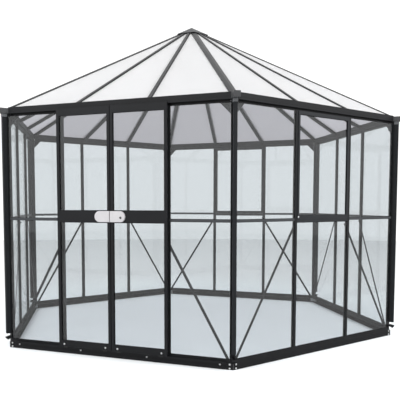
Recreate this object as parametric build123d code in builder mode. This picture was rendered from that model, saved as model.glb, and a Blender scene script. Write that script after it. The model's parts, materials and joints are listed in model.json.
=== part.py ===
from build123d import *

import os
from math import atan, cos, degrees, radians, sin, sqrt, tan

# Hexagonal glazed greenhouse with a pyramid roof and a pair of sliding doors, in millimetres.
# The origin is on the ground under the peak, +Z is up and the door wall faces -Y.
# Depths are measured inwards from the outer face of the base, square to a wall.

# Plan and heights
side_length = 1860.0
pane_pitch = 620.0
sill_height = 27.0
base_height = 45.0
wall_height = 1746.0
track_recess = 17.0
gutter_height = 48.0
seat_drop = 2.0
roof_pitch = radians(30.0)

# Shared stock sizes
sheet = 2.5
flange_thickness = 3.0
glass_thickness = 3.0
pane_clearance = 0.5
fit_clearance = 0.3
mitre_gap = 1.0
face_line = 3.0
face_line_depth = 1.0
overrun = 5.0

# Base
base_depth = 40.0
base_line_shares = (0.36, 0.72)
bracket_length = 47.0
bracket_height = 33.0
bracket_thickness = 2.0

# Wall frame
frame_face_depth = 2.0
frame_depth = 22.0
bar_width = 26.0
bar_web = 4.0
jamb_width = 42.0
door_opening = 828.0
pane_lift = 15.0
pane_joint_height = 1024.0
strip_width = 18.0
strip_flange = 2.0
strip_web = 3.0

# Corner posts and downpipes
post_width = 36.0
post_rear = 40.0
post_core_width = 16.0
groove_stop = 19.0
downpipe_front = 27.0
downpipe_width = 27.0
downpipe_depth = 38.0
downpipe_rounding = 3.0
downpipe_line_share = 0.45
downpipe_gap = 115.0
spout_height = 95.0
spout_drop = 30.0
spout_reach = 42.0
spout_shares = ((0, 0), (0, 1 / 2), (2 / 3, 1), (1, 1 / 2), (1, 1 / 4))

# Braces and gussets
brace_width = 20.0
brace_thickness = 3.0
brace_foot_inset = 46.0
brace_foot_height = 66.0
brace_head_height = 985.0
door_brace_head_height = 865.0
gusset_leg = 75.0

# Eaves gutter
gutter_face_depth = 4.0
gutter_width = 40.0
gutter_lip = 8.0
gutter_line_share = 0.3
ledge_back_depth = 30.0
ledge_thickness = 3.0
outlet_front = 70.0
outlet_width = 47.0
outlet_height = 41.0
neck_reach = 40.0

# Roof
roof_pane_thickness = 6.0
roof_overhang = 18.0
roof_bar_width = 32.0
roof_bar_depth = 28.0
roof_cap_thickness = 9.0
roof_cap_angle = 65.0
roof_bar_eaves_share = 0.32
roof_bar_end = 124.0
pane_end = 128.0
hip_width = 52.0
hip_cover_thickness = 5.0
hip_flange_width = 28.0
hip_end = 50.0
cap_radius = 162.0
cap_thickness = 3.0
cap_tip_radius = 6.0
apex_plate_radius = 150.0
apex_plate_thickness = 4.0

# Vent windows
vent_clearance = 0.5
transom_drop = 21.0
transom_lip = 8.0
transom_height = 26.0
transom_depth = 14.0
sash_stile = 18.0
sash_rail = 26.0
sash_proud = 4.0
sash_depth = 14.0
sash_rebate = 6.0

# Sliding doors
leaf_gap = 5.0
leaf_side_lap = 35.0
leaf_top_lap = 5.0
leaf_lift = 15.0
leaf_depth = 20.0
leaf_standoff = 9.0
outer_stile = 23.0
meeting_stile = 22.0
top_rail = 53.0
middle_rail = 88.0
middle_rail_height = 1047.5
bottom_rail = 45.0
frame_wall = 2.0
groove_depth = 8.0
groove_block = 10.0
handle_length = 248.0
handle_width = 80.0
handle_thickness = 13.0
handle_rounding = 4.0
roller_diameter = 12.0
roller_width = 10.0
roller_axle = 6.0
roller_inset_share = 0.12
shoe_length = 30.0
shoe_leg = 4.0
shoe_height = 12.0
shoe_slack = 0.5
guide_leg = 18.0
guide_rise = 12.0
guide_end_gap = 50.0

# Sizes that follow from those above
wall_distance = side_length / 2 * sqrt(3)
corner_turn = radians(30.0)
sill_top = base_height + sill_height
eaves_low = sill_top + wall_height
ledge_top = eaves_low + ledge_thickness
gutter_low = ledge_top + track_recess
gutter_top = gutter_low + gutter_height
gutter_back_depth = gutter_face_depth + gutter_width
seat_distance = wall_distance - gutter_back_depth + sheet
seat_height = gutter_top - seat_drop
frame_back_depth = frame_face_depth + frame_depth
glass_face_depth = frame_face_depth + flange_thickness
bar_offset = pane_pitch / 2
pane_low = base_height + pane_lift
pane_high = eaves_low - pane_clearance
groove_width = glass_thickness + fit_clearance
pane_outer = side_length / 2 - groove_stop - pane_clearance
transom_low = pane_joint_height - transom_drop
sash_face_depth = frame_face_depth - sash_proud

hip_slope = atan(cos(corner_turn) * tan(roof_pitch))
slope_length = seat_distance / cos(roof_pitch)
roof_peak = seat_height + seat_distance * tan(roof_pitch)
# Two roof faces fall away from their hip by this much for each millimetre across it.
hip_fall_share = sin(corner_turn) * tan(roof_pitch) * cos(hip_slope)
hip_lift_share = cos(hip_slope) / cos(roof_pitch)

os.makedirs("parts", exist_ok=True)

wall_names = ("front", "front_right", "back_right", "back", "back_left", "front_left")
wall_angles = {name: 360 * place / 6 - 90 for place, name in enumerate(wall_names)}
vent_walls = ["front_right", "back"]
corner_angles = [angle + 30 for angle in wall_angles.values()]


def keep(piece, name):
    """Label a finished piece and write it to its own file."""
    piece.part.label = name
    export_step(piece.part, f"parts/{name}.step")


def outward(angle):
    """Level direction that points out at an angle about the middle."""
    return Vector(1, 0, 0).rotate(Axis.Z, angle)


def wall_plane(name, depth):
    """Upright plane of a wall: X runs along the wall, Y is up and Z points out."""
    out = outward(wall_angles[name])
    return Plane(origin=out * (wall_distance - depth), x_dir=out.rotate(Axis.Z, 90), z_dir=out)


def run_plane(start, end, normal):
    """Plane square to a run from start to end, with its Y axis along the normal."""
    along = (end - start).normalized()
    return Plane(origin=start, x_dir=normal.cross(along), z_dir=along)


def door_y(depth):
    """Place of a depth on the door wall along the Y axis."""
    return depth - wall_distance


def hexagon(depth, mode=Mode.ADD):
    """Outline of the building at a depth in from the base's face."""
    RegularPolygon(wall_distance - depth, 6, major_radius=False, mode=mode)


def wall_band(face_depth, back_depth, low, high, mode=Mode.ADD):
    """Band of one thickness that runs round all six walls, added or cut away."""
    with BuildSketch(Plane.XY.offset(low)) as ring:
        hexagon(face_depth)
        hexagon(back_depth, Mode.SUBTRACT)
    extrude(ring.sketch, amount=high - low, mode=mode)


def corner_blocks(width, low, high, mode):
    """Radial blocks through the six corners, which part or trim what runs round the walls."""
    with BuildSketch(Plane.XY.offset(low)) as blocks:
        with PolarLocations(side_length, 6):
            Rectangle(side_length, width)
    extrude(blocks.sketch, amount=high - low, mode=mode)


def upright(left, right, low, high):
    """Rectangle on a wall plane between two places along the wall and two heights."""
    with Locations(((left + right) / 2, (low + high) / 2)):
        Rectangle(right - left, high - low)


# Base rails: channels open to the inside, mitred at the corners, with two fine lines along the face
with BuildPart() as base_rails:
    wall_band(0, sheet, 0, base_height)
    wall_band(0, base_depth, 0, sheet)
    wall_band(0, base_depth, base_height - sheet, base_height)
    for share in base_line_shares:
        wall_band(0, face_line_depth, share * base_height, share * base_height + face_line, Mode.SUBTRACT)
    corner_blocks(mitre_gap, -overrun, base_height + overrun, Mode.SUBTRACT)
keep(base_rails, "base_rails")

# Base corner brackets: bent plates inside the channels
with BuildPart() as base_corner_brackets:
    bracket_low = (base_height - bracket_height) / 2
    wall_band(sheet, sheet + bracket_thickness, bracket_low, bracket_low + bracket_height)
    bracket_span = 2 * bracket_length * cos(corner_turn)
    corner_blocks(bracket_span, bracket_low, bracket_low + bracket_height, Mode.INTERSECT)
keep(base_corner_brackets, "base_corner_brackets")

# Sills: channels open at the top that take the foot of the glass, cut away at the doorway
with BuildPart() as sills:
    wall_band(frame_face_depth, glass_face_depth, base_height, sill_top)
    wall_band(frame_face_depth, frame_back_depth, base_height, base_height + sheet)
    wall_band(frame_back_depth - sheet, frame_back_depth, base_height, sill_top)
    corner_blocks(post_width + 2 * fit_clearance, base_height, sill_top, Mode.SUBTRACT)
    with BuildSketch(Plane.XY.offset(base_height)):
        with Locations((0, door_y(frame_back_depth / 2))):
            Rectangle(door_opening + 2 * jamb_width, frame_back_depth + 2 * overrun)
    extrude(amount=sill_height, mode=Mode.SUBTRACT)
keep(sills, "sills")

# Corner posts: a rear tube with a groove for the glass of each wall, and a narrower downpipe outside it
post_rear_radius = side_length - post_rear
downpipe_radius = side_length + downpipe_front - downpipe_depth
rear_depth = downpipe_radius - post_rear_radius

with BuildSketch() as post_section:
    with Locations((post_rear_radius + rear_depth / 2, 0)):
        Rectangle(rear_depth, post_width)
        Rectangle(rear_depth - 2 * sheet, post_core_width, mode=Mode.SUBTRACT)
    for turn in (-1, 1):
        with Locations(Location((side_length, 0, 0), (0, 0, turn * 120))):
            with Locations((groove_stop + post_width / 2, turn * (glass_face_depth + groove_width / 2))):
                Rectangle(post_width, groove_width, mode=Mode.SUBTRACT)

downpipe_bore = downpipe_depth - 2 * sheet
downpipe_bore_width = downpipe_width - 2 * sheet
with BuildSketch() as downpipe_section:
    with Locations((downpipe_radius + downpipe_depth / 2, 0)):
        RectangleRounded(downpipe_depth, downpipe_width, downpipe_rounding)
        Rectangle(downpipe_bore, downpipe_bore_width, mode=Mode.SUBTRACT)
    line_place = downpipe_radius + downpipe_line_share * downpipe_depth
    with Locations((line_place, -downpipe_width / 2), (line_place, downpipe_width / 2)):
        Rectangle(face_line, 2 * face_line_depth, mode=Mode.SUBTRACT)

with BuildPart() as corner_posts:
    with BuildSketch(Plane.XY.offset(base_height)):
        with PolarLocations(0, 6):
            add(post_section.sketch)
    extrude(amount=gutter_low - base_height)
    with BuildSketch(Plane.XY.offset(downpipe_gap)):
        with PolarLocations(0, 6):
            add(downpipe_section.sketch)
    extrude(amount=gutter_low - downpipe_gap)
keep(corner_posts, "corner_posts")

# Spouts: open chutes under the downpipes that throw the water clear of the base
chute_steps = ((downpipe_width, 0, Mode.ADD), (downpipe_bore_width, sheet, Mode.SUBTRACT))
with BuildPart() as downpipe_spouts:
    for angle in corner_angles:
        across = outward(angle - 90)
        for width, lift, mode in chute_steps:
            chute = Plane(origin=across * (width / 2), x_dir=outward(angle), z_dir=across)
            with BuildSketch(chute):
                with BuildLine():
                    points = []
                    for out_share, drop_share in spout_shares:
                        reach = lift + (spout_reach - lift) * out_share
                        drop = spout_drop * drop_share - lift
                        points.append((downpipe_radius + reach, spout_height - drop))
                    Polyline(*points, close=True)
                make_face()
            extrude(amount=-width, mode=mode)
keep(downpipe_spouts, "downpipe_spouts")

# Wall mullions: bars of H section, two to a wall
with BuildSketch() as bar_section:
    with Locations((-frame_face_depth - flange_thickness / 2, 0)):
        Rectangle(flange_thickness, bar_width)
    with Locations((-frame_face_depth - frame_depth / 2, 0)):
        Rectangle(frame_depth, bar_web)
    with Locations((-frame_back_depth + flange_thickness / 2, 0)):
        Rectangle(flange_thickness, bar_width)

with BuildPart() as wall_mullions:
    with BuildSketch(Plane.XY.offset(sill_top)):
        with PolarLocations(wall_distance, 5, start_angle=-30, angular_range=300):
            with Locations((0, -bar_offset), (0, bar_offset)):
                add(bar_section.sketch)
    extrude(amount=eaves_low - sill_top)
keep(wall_mullions, "wall_mullions")


def frame_section(width, deep, sides, groove_shift):
    """Hollow frame profile with a glass groove on the sides named, drawn about its middle."""
    with BuildSketch() as section:
        Rectangle(width, deep)
        left = groove_block if -1 in sides else frame_wall
        right = groove_block if 1 in sides else frame_wall
        with Locations(((left - right) / 2, 0)):
            Rectangle(width - left - right, deep - 2 * frame_wall, mode=Mode.SUBTRACT)
        for side in sides:
            with Locations((side * (width - groove_depth) / 2, groove_shift)):
                Rectangle(groove_depth, groove_width, mode=Mode.SUBTRACT)
    return section.sketch


# Door jambs: tubes beside the doorway, grooved for the sidelights
with BuildPart() as door_jambs:
    jamb_middle = frame_face_depth + frame_depth / 2
    jamb_groove = glass_face_depth + glass_thickness / 2 - jamb_middle
    with BuildSketch(Plane.XY.offset(base_height)):
        for side in (-1, 1):
            with Locations((side * (door_opening + jamb_width) / 2, door_y(jamb_middle))):
                add(frame_section(jamb_width, frame_depth, [side], jamb_groove))
    extrude(amount=eaves_low - base_height)
keep(door_jambs, "door_jambs")

# Pane strips: thin bars of H section where the lower and the upper pane of a bay meet
middle_edge = bar_offset - bar_web / 2 - pane_clearance
side_edge = bar_offset + bar_web / 2 + pane_clearance
light_edge = door_opening / 2 + jamb_width - groove_depth + pane_clearance


def post_edge(depth):
    """Place along a wall where the side of a corner post stands, at a depth."""
    return side_length / 2 - depth * tan(corner_turn) - post_width / 2 / cos(corner_turn)


def strip_run(name, left, right):
    """Length of strip on a wall, drawn as its section and run along the wall."""
    start = wall_plane(name, 0).from_local_coords(Vector(left, pane_joint_height, 0))
    end = wall_plane(name, 0).from_local_coords(Vector(right, pane_joint_height, 0))
    with BuildSketch(run_plane(start, end, outward(wall_angles[name]))) as section:
        with Locations((0, -glass_face_depth + strip_flange / 2)):
            Rectangle(strip_width, strip_flange)
        with Locations((0, -glass_face_depth - glass_thickness / 2)):
            Rectangle(strip_web, glass_thickness)
        with Locations((0, -glass_face_depth - glass_thickness - strip_flange / 2)):
            Rectangle(strip_width, strip_flange)
    extrude(section.sketch, amount=right - left)


with BuildPart() as pane_strips:
    strip_middle = bar_offset - bar_width / 2 - fit_clearance
    strip_side = bar_offset + bar_width / 2 + fit_clearance
    strip_light = door_opening / 2 + jamb_width + fit_clearance
    strip_end = post_edge(glass_face_depth + glass_thickness + strip_flange) - fit_clearance
    for wall in wall_angles:
        inner = strip_light if wall == "front" else strip_side
        strip_run(wall, inner, strip_end)
        strip_run(wall, -strip_end, -inner)
        if wall != "front" and wall not in vent_walls:
            strip_run(wall, -strip_middle, strip_middle)
keep(pane_strips, "pane_strips")

# Wall glass: one node to a wall, two panes to a bay
joint_low = pane_joint_height - strip_web / 2 - pane_clearance
joint_high = pane_joint_height + strip_web / 2 + pane_clearance
vent_pane_high = transom_low + transom_lip - pane_clearance

for wall in wall_angles:
    with BuildPart() as wall_glass:
        with BuildSketch(wall_plane(wall, glass_face_depth)):
            inner = light_edge if wall == "front" else side_edge
            for low, high in ((pane_low, joint_low), (joint_high, pane_high)):
                upright(inner, pane_outer, low, high)
                upright(-pane_outer, -inner, low, high)
            if wall in vent_walls:
                upright(-middle_edge, middle_edge, pane_low, vent_pane_high)
            elif wall != "front":
                upright(-middle_edge, middle_edge, pane_low, joint_low)
                upright(-middle_edge, middle_edge, joint_high, pane_high)
        extrude(amount=-glass_thickness)
    keep(wall_glass, f"{wall}_wall_glass")

# Vent windows: a fixed transom, and a top-hung sash over it with a pane in its rebate
vent_half = bar_offset - bar_width / 2 - vent_clearance
sash_low = transom_low + transom_height + vent_clearance
sash_high = eaves_low - vent_clearance

with BuildPart() as vent_transoms:
    with BuildSketch(*[wall_plane(wall, frame_face_depth) for wall in vent_walls]):
        upright(-vent_half, vent_half, transom_low, transom_low + transom_height)
    extrude(amount=-flange_thickness)
    with BuildSketch(*[wall_plane(wall, frame_face_depth) for wall in vent_walls]):
        upright(-vent_half, vent_half, transom_low + transom_lip, transom_low + transom_height)
    extrude(amount=-transom_depth)
keep(vent_transoms, "vent_transoms")


def sash_opening(margin):
    """Opening inside the frame of a sash, widened by a margin on every side."""
    edge = vent_half - sash_stile + margin
    upright(-edge, edge, sash_low + sash_rail - margin, sash_high - sash_rail + margin)


for wall in vent_walls:
    with BuildPart() as vent_sash:
        with BuildSketch(wall_plane(wall, sash_face_depth)):
            upright(-vent_half, vent_half, sash_low, sash_high)
        extrude(amount=-sash_depth)
        with BuildSketch(wall_plane(wall, sash_face_depth)):
            sash_opening(0)
        extrude(amount=-sash_depth, mode=Mode.SUBTRACT)
        with BuildSketch(wall_plane(wall, sash_face_depth + sash_depth)):
            sash_opening(groove_depth)
        extrude(amount=sash_rebate, mode=Mode.SUBTRACT)
    keep(vent_sash, f"{wall}_vent_sash")

vent_glass_depth = sash_face_depth + sash_depth - sash_rebate
with BuildPart() as vent_glass:
    with BuildSketch(*[wall_plane(wall, vent_glass_depth) for wall in vent_walls]):
        sash_opening(groove_depth - pane_clearance)
    extrude(amount=-glass_thickness)
keep(vent_glass, "vent_glass")


def brace_strip(foot, head):
    """Flat strip drawn on a wall plane from its foot to its head."""
    run = Vector(*head) - Vector(*foot)
    middle = (Vector(*head) + Vector(*foot)) / 2
    lean = Vector(1, 0, 0).get_signed_angle(run, Vector(0, 0, 1))
    with Locations(Location((middle.X, middle.Y, 0), (0, 0, lean))):
        Rectangle(run.length, brace_width)


# Braces: flats on the inside of the frame, from the foot of each post to the next upright
brace_foot = side_length / 2 - brace_foot_inset
with BuildPart() as braces:
    for wall in wall_angles:
        head_place = (door_opening + jamb_width) / 2 if wall == "front" else bar_offset - bar_width / 2
        head_height = door_brace_head_height if wall == "front" else brace_head_height
        with BuildSketch(wall_plane(wall, frame_back_depth)):
            for side in (-1, 1):
                brace_strip((side * brace_foot, brace_foot_height), (side * head_place, head_height))
        extrude(amount=-brace_thickness)
keep(braces, "braces")

# Gussets: plates that square each post to the eaves
gusset_edge = post_edge(frame_back_depth + brace_thickness) - fit_clearance
with BuildPart() as gussets:
    with BuildSketch(*[wall_plane(wall, frame_back_depth) for wall in wall_angles]):
        for side in (-1, 1):
            Polygon(
                (side * gusset_edge, eaves_low),
                (side * (gusset_edge - gusset_leg), eaves_low),
                (side * gusset_edge, eaves_low - gusset_leg),
                align=None,
            )
    extrude(amount=-brace_thickness)
keep(gussets, "gussets")

# Eaves gutters: a trough over a ledge, in one section, mitred and notched at the corners
with BuildPart() as gutters:
    wall_band(gutter_face_depth, gutter_face_depth + sheet, gutter_low, gutter_top)
    wall_band(gutter_face_depth, gutter_face_depth + gutter_lip, gutter_top - sheet, gutter_top)
    wall_band(gutter_face_depth, gutter_back_depth, gutter_low, gutter_low + sheet)
    wall_band(gutter_back_depth - sheet, gutter_back_depth, gutter_low, seat_height)
    wall_band(ledge_back_depth - sheet, ledge_back_depth, eaves_low, gutter_low)
    wall_band(frame_face_depth + sheet, ledge_back_depth, eaves_low, ledge_top)
    line_low = gutter_low + gutter_line_share * gutter_height
    wall_band(0, gutter_face_depth + face_line_depth, line_low, line_low + face_line, Mode.SUBTRACT)
    corner_blocks(mitre_gap, gutter_low, seat_height, Mode.SUBTRACT)
    corner_blocks(post_width + 2 * fit_clearance, eaves_low, gutter_low, Mode.SUBTRACT)
    notch_radius = (wall_distance - gutter_face_depth - gutter_lip) / cos(corner_turn) - outlet_width / 2
    with BuildSketch(Plane.XY.offset(gutter_low + sheet)):
        with PolarLocations(notch_radius + outlet_width, 6):
            Rectangle(2 * outlet_width, outlet_width - 2 * sheet)
    extrude(amount=gutter_height, mode=Mode.SUBTRACT)
keep(gutters, "gutters")

# Gutter outlets: open hoppers outside the corners, each with a neck into its downpipe
outlet_back = post_rear_radius
outlet_reach = side_length + outlet_front
outlet_middle = (outlet_reach + outlet_back) / 2
with BuildPart() as gutter_outlets:
    with BuildSketch(Plane.XY.offset(gutter_low)):
        with PolarLocations(outlet_middle, 6):
            Rectangle(outlet_reach - outlet_back, outlet_width)
    extrude(amount=outlet_height)
    with BuildSketch(Plane.XY.offset(gutter_low + sheet)):
        with PolarLocations(outlet_middle - sheet, 6):
            Rectangle(outlet_reach - outlet_back, outlet_width - 2 * sheet)
    extrude(amount=gutter_height, mode=Mode.SUBTRACT)
    with BuildSketch(Plane.XY.offset(gutter_low)):
        hexagon(gutter_face_depth)
    extrude(amount=gutter_height, mode=Mode.SUBTRACT)
    neck_middle = downpipe_radius + downpipe_depth / 2
    neck_slack = 2 * fit_clearance
    with BuildSketch(Plane.XY.offset(gutter_low - neck_reach)):
        with PolarLocations(neck_middle, 6):
            Rectangle(downpipe_bore - neck_slack, downpipe_bore_width - neck_slack)
    extrude(amount=neck_reach)
    with BuildSketch(Plane.XY.offset(gutter_low - neck_reach)):
        with PolarLocations(neck_middle, 6):
            Rectangle(downpipe_bore - neck_slack - 2 * sheet, downpipe_bore_width - neck_slack - 2 * sheet)
    extrude(amount=neck_reach + sheet, mode=Mode.SUBTRACT)
keep(gutter_outlets, "gutter_outlets")


def roof_plane(name):
    """Underside of the panes on one roof face: Y runs up the slope from the gutter's seat."""
    out = outward(wall_angles[name])
    normal = out * sin(roof_pitch) + Vector(0, 0, cos(roof_pitch))
    origin = out * seat_distance + Vector(0, 0, seat_height)
    return Plane(origin=origin, x_dir=out.rotate(Axis.Z, 90), z_dir=normal)


def slope_at(distance):
    """Place up a roof face at a level distance from the middle of the building."""
    return (seat_distance - distance) / cos(roof_pitch)


hip_eaves = seat_distance * tan(corner_turn)
bar_eaves = hip_eaves * roof_bar_eaves_share
lower_edge = -roof_overhang / cos(roof_pitch)
web_gap = bar_web / 2 + pane_clearance


def roof_line(eaves_place, shift, slope):
    """Place across a roof face of a line that leaves the eaves and runs to the peak."""
    return eaves_place * (1 - slope / slope_length) + shift


# Roof panes: three tapering sheets to a face
for wall in wall_angles:
    with BuildPart() as roof_panes:
        with BuildSketch(roof_plane(wall)):
            upper_edge = slope_at(pane_end)
            hip_gap = web_gap / cos(corner_turn)
            runs = (
                ((-bar_eaves, web_gap), (bar_eaves, -web_gap)),
                ((bar_eaves, web_gap), (hip_eaves, -hip_gap)),
                ((-hip_eaves, hip_gap), (-bar_eaves, -web_gap)),
            )
            for left, right in runs:
                Polygon(
                    (roof_line(*left, lower_edge), lower_edge),
                    (roof_line(*right, lower_edge), lower_edge),
                    (roof_line(*right, upper_edge), upper_edge),
                    (roof_line(*left, upper_edge), upper_edge),
                    align=None,
                )
        extrude(amount=roof_pane_thickness)
    keep(roof_panes, f"{wall}_roof_panes")


def roof_bar_planes(slope):
    """Planes square to the two bars of every roof face, at a place up the slope."""
    planes = []
    for wall in wall_angles:
        face = roof_plane(wall)
        peak = face.from_local_coords(Vector(0, slope_length, 0))
        for side in (-1, 1):
            start = face.from_local_coords(Vector(roof_line(side * bar_eaves, 0, slope), slope, 0))
            planes.append(run_plane(start, peak, face.z_dir))
    return planes


# Roof bars: a web and a flange under the panes, and a cap strip over them
bar_stretch = sqrt(1 + (bar_eaves / slope_length) ** 2)
with BuildPart() as roof_bars:
    with BuildSketch(*roof_bar_planes(lower_edge)):
        with Locations((0, (roof_pane_thickness - roof_bar_depth) / 2)):
            Rectangle(bar_web, roof_pane_thickness + roof_bar_depth)
        with Locations((0, flange_thickness / 2 - roof_bar_depth)):
            Rectangle(roof_bar_width, flange_thickness)
    extrude(amount=(slope_at(roof_bar_end) - lower_edge) * bar_stretch)
    with BuildSketch():
        hexagon(gutter_back_depth)
    extrude(amount=roof_peak, mode=Mode.INTERSECT)
    with BuildSketch(*roof_bar_planes(lower_edge)):
        with Locations((0, roof_pane_thickness + roof_cap_thickness / 2)):
            Trapezoid(roof_bar_width, roof_cap_thickness, roof_cap_angle)
    extrude(amount=(slope_at(roof_bar_end) - lower_edge) * bar_stretch)
keep(roof_bars, "roof_bars")


def hip_point(angle, radius):
    """Point on a hip, where the undersides of two roof faces meet."""
    return outward(angle) * radius + Vector(0, 0, roof_peak - radius * tan(hip_slope))


def hip_planes(radius):
    """Planes square to the six hips at a level distance from the middle."""
    planes = []
    for angle in corner_angles:
        normal = outward(angle) * sin(hip_slope) + Vector(0, 0, cos(hip_slope))
        planes.append(run_plane(hip_point(angle, radius), hip_point(angle, 0), normal))
    return planes


# Hip rafters: a ridged cover over the edges of two roof faces, on a web and a flange
hip_depth = roof_bar_depth * hip_lift_share
hip_pane_top = roof_pane_thickness * hip_lift_share
hip_ridge = hip_pane_top + hip_cover_thickness
hip_foot = (seat_distance + roof_overhang) / cos(corner_turn)
hip_half = hip_width / 2
with BuildPart() as hip_rafters:
    with BuildSketch(*hip_planes(hip_foot)):
        with Locations((0, (hip_pane_top - hip_depth) / 2)):
            Rectangle(bar_web, hip_pane_top + hip_depth)
        with Locations((0, flange_thickness / 2 - hip_depth)):
            Rectangle(hip_flange_width, flange_thickness)
    extrude(amount=(hip_foot - hip_end) / cos(hip_slope))
    with BuildSketch():
        hexagon(gutter_back_depth)
    extrude(amount=roof_peak, mode=Mode.INTERSECT)
    with BuildSketch(*hip_planes(hip_foot)):
        Polygon(
            (0, hip_ridge),
            (-hip_half, hip_ridge - hip_half * hip_fall_share),
            (-hip_half, hip_pane_top - hip_half * hip_fall_share),
            (0, hip_pane_top),
            (hip_half, hip_pane_top - hip_half * hip_fall_share),
            (hip_half, hip_ridge - hip_half * hip_fall_share),
            align=None,
        )
    extrude(amount=(hip_foot - hip_end) / cos(hip_slope))
keep(hip_rafters, "hip_rafters")


def pyramid(peak, rim_radius, mode):
    """Six-sided pyramid at the roof's pitch, with a small flat in place of its point."""
    with BuildSketch(Plane.XY.offset(peak - rim_radius * tan(hip_slope))) as rim:
        RegularPolygon(rim_radius, 6)
    rise = (rim_radius - cap_tip_radius) * tan(hip_slope)
    extrude(rim.sketch, amount=rise, taper=90 - degrees(roof_pitch), mode=mode)


# Apex plate under the bars, and the cap that closes the peak on top of them
apex_plate_peak = roof_peak - roof_bar_depth / cos(roof_pitch)
with BuildPart() as apex_plate:
    pyramid(apex_plate_peak, apex_plate_radius, Mode.ADD)
    pyramid(apex_plate_peak - apex_plate_thickness / cos(roof_pitch), apex_plate_radius, Mode.SUBTRACT)
keep(apex_plate, "apex_plate")

cap_peak = roof_peak + (roof_pane_thickness + roof_cap_thickness) / cos(roof_pitch)
with BuildPart() as apex_cap:
    pyramid(cap_peak + cap_thickness / cos(roof_pitch), cap_radius, Mode.ADD)
    pyramid(cap_peak, cap_radius, Mode.SUBTRACT)
keep(apex_cap, "apex_cap")

# Door guide: a leg on the base, a shelf under the doors and a rib that keeps their feet in line
leaf_back_depth = frame_face_depth - leaf_standoff
leaf_middle = leaf_back_depth - leaf_depth / 2
guide_half = side_length / 2 - guide_end_gap
guide_top = base_height + guide_rise
guide_reach = sheet / 2 - leaf_middle
with BuildPart() as door_guide:
    with BuildSketch(Plane.YZ.offset(-guide_half)):
        with Locations((door_y(-sheet / 2), base_height - guide_leg / 2)):
            Rectangle(sheet, guide_leg)
        with Locations((door_y(-guide_reach / 2), base_height - sheet / 2)):
            Rectangle(guide_reach, sheet)
        with Locations((door_y(leaf_middle), (guide_top + base_height - sheet) / 2)):
            Rectangle(sheet, guide_rise + sheet)
    extrude(amount=2 * guide_half)
keep(door_guide, "door_guide")

# Door leaves: the right one, and the left one as its mirror image
leaf_inner = leaf_gap / 2
leaf_outer = door_opening / 2 + leaf_side_lap
leaf_low = base_height + leaf_lift
leaf_high = gutter_low + leaf_top_lap
rail_start = leaf_inner + meeting_stile
rail_end = leaf_outer - outer_stile
leaf_height = leaf_high - leaf_low
rails = (
    (leaf_high - top_rail / 2, top_rail, [-1]),
    (middle_rail_height, middle_rail, [-1, 1]),
    (leaf_low + bottom_rail / 2, bottom_rail, [1]),
)

for side, leaf in ((-1, "left_door"), (1, "right_door")):
    with BuildPart() as stiles:
        with BuildSketch(Plane.XY.offset(leaf_low)):
            with Locations((side * (rail_start - meeting_stile / 2), door_y(leaf_middle))):
                add(frame_section(meeting_stile, leaf_depth, [side], 0))
            with Locations((side * (rail_end + outer_stile / 2), door_y(leaf_middle))):
                add(frame_section(outer_stile, leaf_depth, [-side], 0))
        extrude(amount=leaf_height)
    keep(stiles, f"{leaf}_stiles")

    with BuildPart() as cross_rails:
        with BuildSketch(Plane.YZ.offset(side * rail_start)):
            for height, width, grooves in rails:
                with Locations(Location((door_y(leaf_middle), height, 0), (0, 0, 90))):
                    add(frame_section(width, leaf_depth, grooves, 0))
        extrude(amount=side * (rail_end - rail_start))
    keep(cross_rails, f"{leaf}_rails")

    with BuildPart() as leaf_glass:
        with BuildSketch(wall_plane("front", leaf_middle - glass_thickness / 2)):
            edge = groove_depth - pane_clearance
            ends = sorted((side * (rail_start - edge), side * (rail_end + edge)))
            middle_low = middle_rail_height - middle_rail / 2
            middle_high = middle_rail_height + middle_rail / 2
            upright(*ends, leaf_low + bottom_rail - edge, middle_low + edge)
            upright(*ends, middle_high - edge, leaf_high - top_rail + edge)
        extrude(amount=-glass_thickness)
    keep(leaf_glass, f"{leaf}_glass")

    with BuildPart() as handle:
        with BuildSketch(wall_plane("front", leaf_back_depth - leaf_depth)):
            with Locations((0, middle_rail_height)):
                SlotOverall(handle_length, handle_width)
            with Locations((side * (leaf_inner - handle_length / 2), middle_rail_height)):
                Rectangle(handle_length, 2 * handle_width, mode=Mode.SUBTRACT)
        extrude(amount=handle_thickness)
        fillet(handle.faces().sort_by(Axis.Y)[0].edges(), radius=handle_rounding)
    keep(handle, f"{leaf}_handle")

    roller_height = ledge_top + fit_clearance + roller_diameter / 2
    roller_face = (frame_face_depth + ledge_back_depth - roller_width) / 2
    inset = roller_inset_share * (leaf_outer - leaf_inner)
    places = [side * (leaf_inner + inset), side * (leaf_outer - inset)]
    with BuildPart() as rollers:
        with BuildSketch(wall_plane("front", roller_face)):
            with Locations(*[(place, roller_height) for place in places]):
                Circle(roller_diameter / 2)
        extrude(amount=-roller_width)
        with BuildSketch(wall_plane("front", leaf_back_depth)):
            with Locations(*[(place, roller_height) for place in places]):
                Circle(roller_axle / 2)
        extrude(amount=leaf_back_depth - roller_face)
    keep(rollers, f"{leaf}_rollers")

    with BuildPart() as shoes:
        slot = sheet + 2 * shoe_slack
        for place in places:
            with BuildSketch(Plane.YZ.offset(place - shoe_length / 2)):
                with Locations((door_y(leaf_middle), leaf_low - shoe_height / 2)):
                    Rectangle(slot + 2 * shoe_leg, shoe_height)
                with Locations((door_y(leaf_middle), guide_top + shoe_slack - shoe_height / 2)):
                    Rectangle(slot, shoe_height, mode=Mode.SUBTRACT)
            extrude(amount=shoe_length)
    keep(shoes, f"{leaf}_shoes")
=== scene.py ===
# %% [markdown]
# # A hexagonal greenhouse, dressed in Blender
# The solids come from a imported CAD model, so every profile and pane is already at its real size.
# This file adds what CAD leaves out: the finishes, the fixings, the seals, the light and the camera.

# %% Load the frame
import json
from math import cos, pi, radians, tan

import bmesh
import bpy
from mathutils import Matrix, Vector


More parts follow.
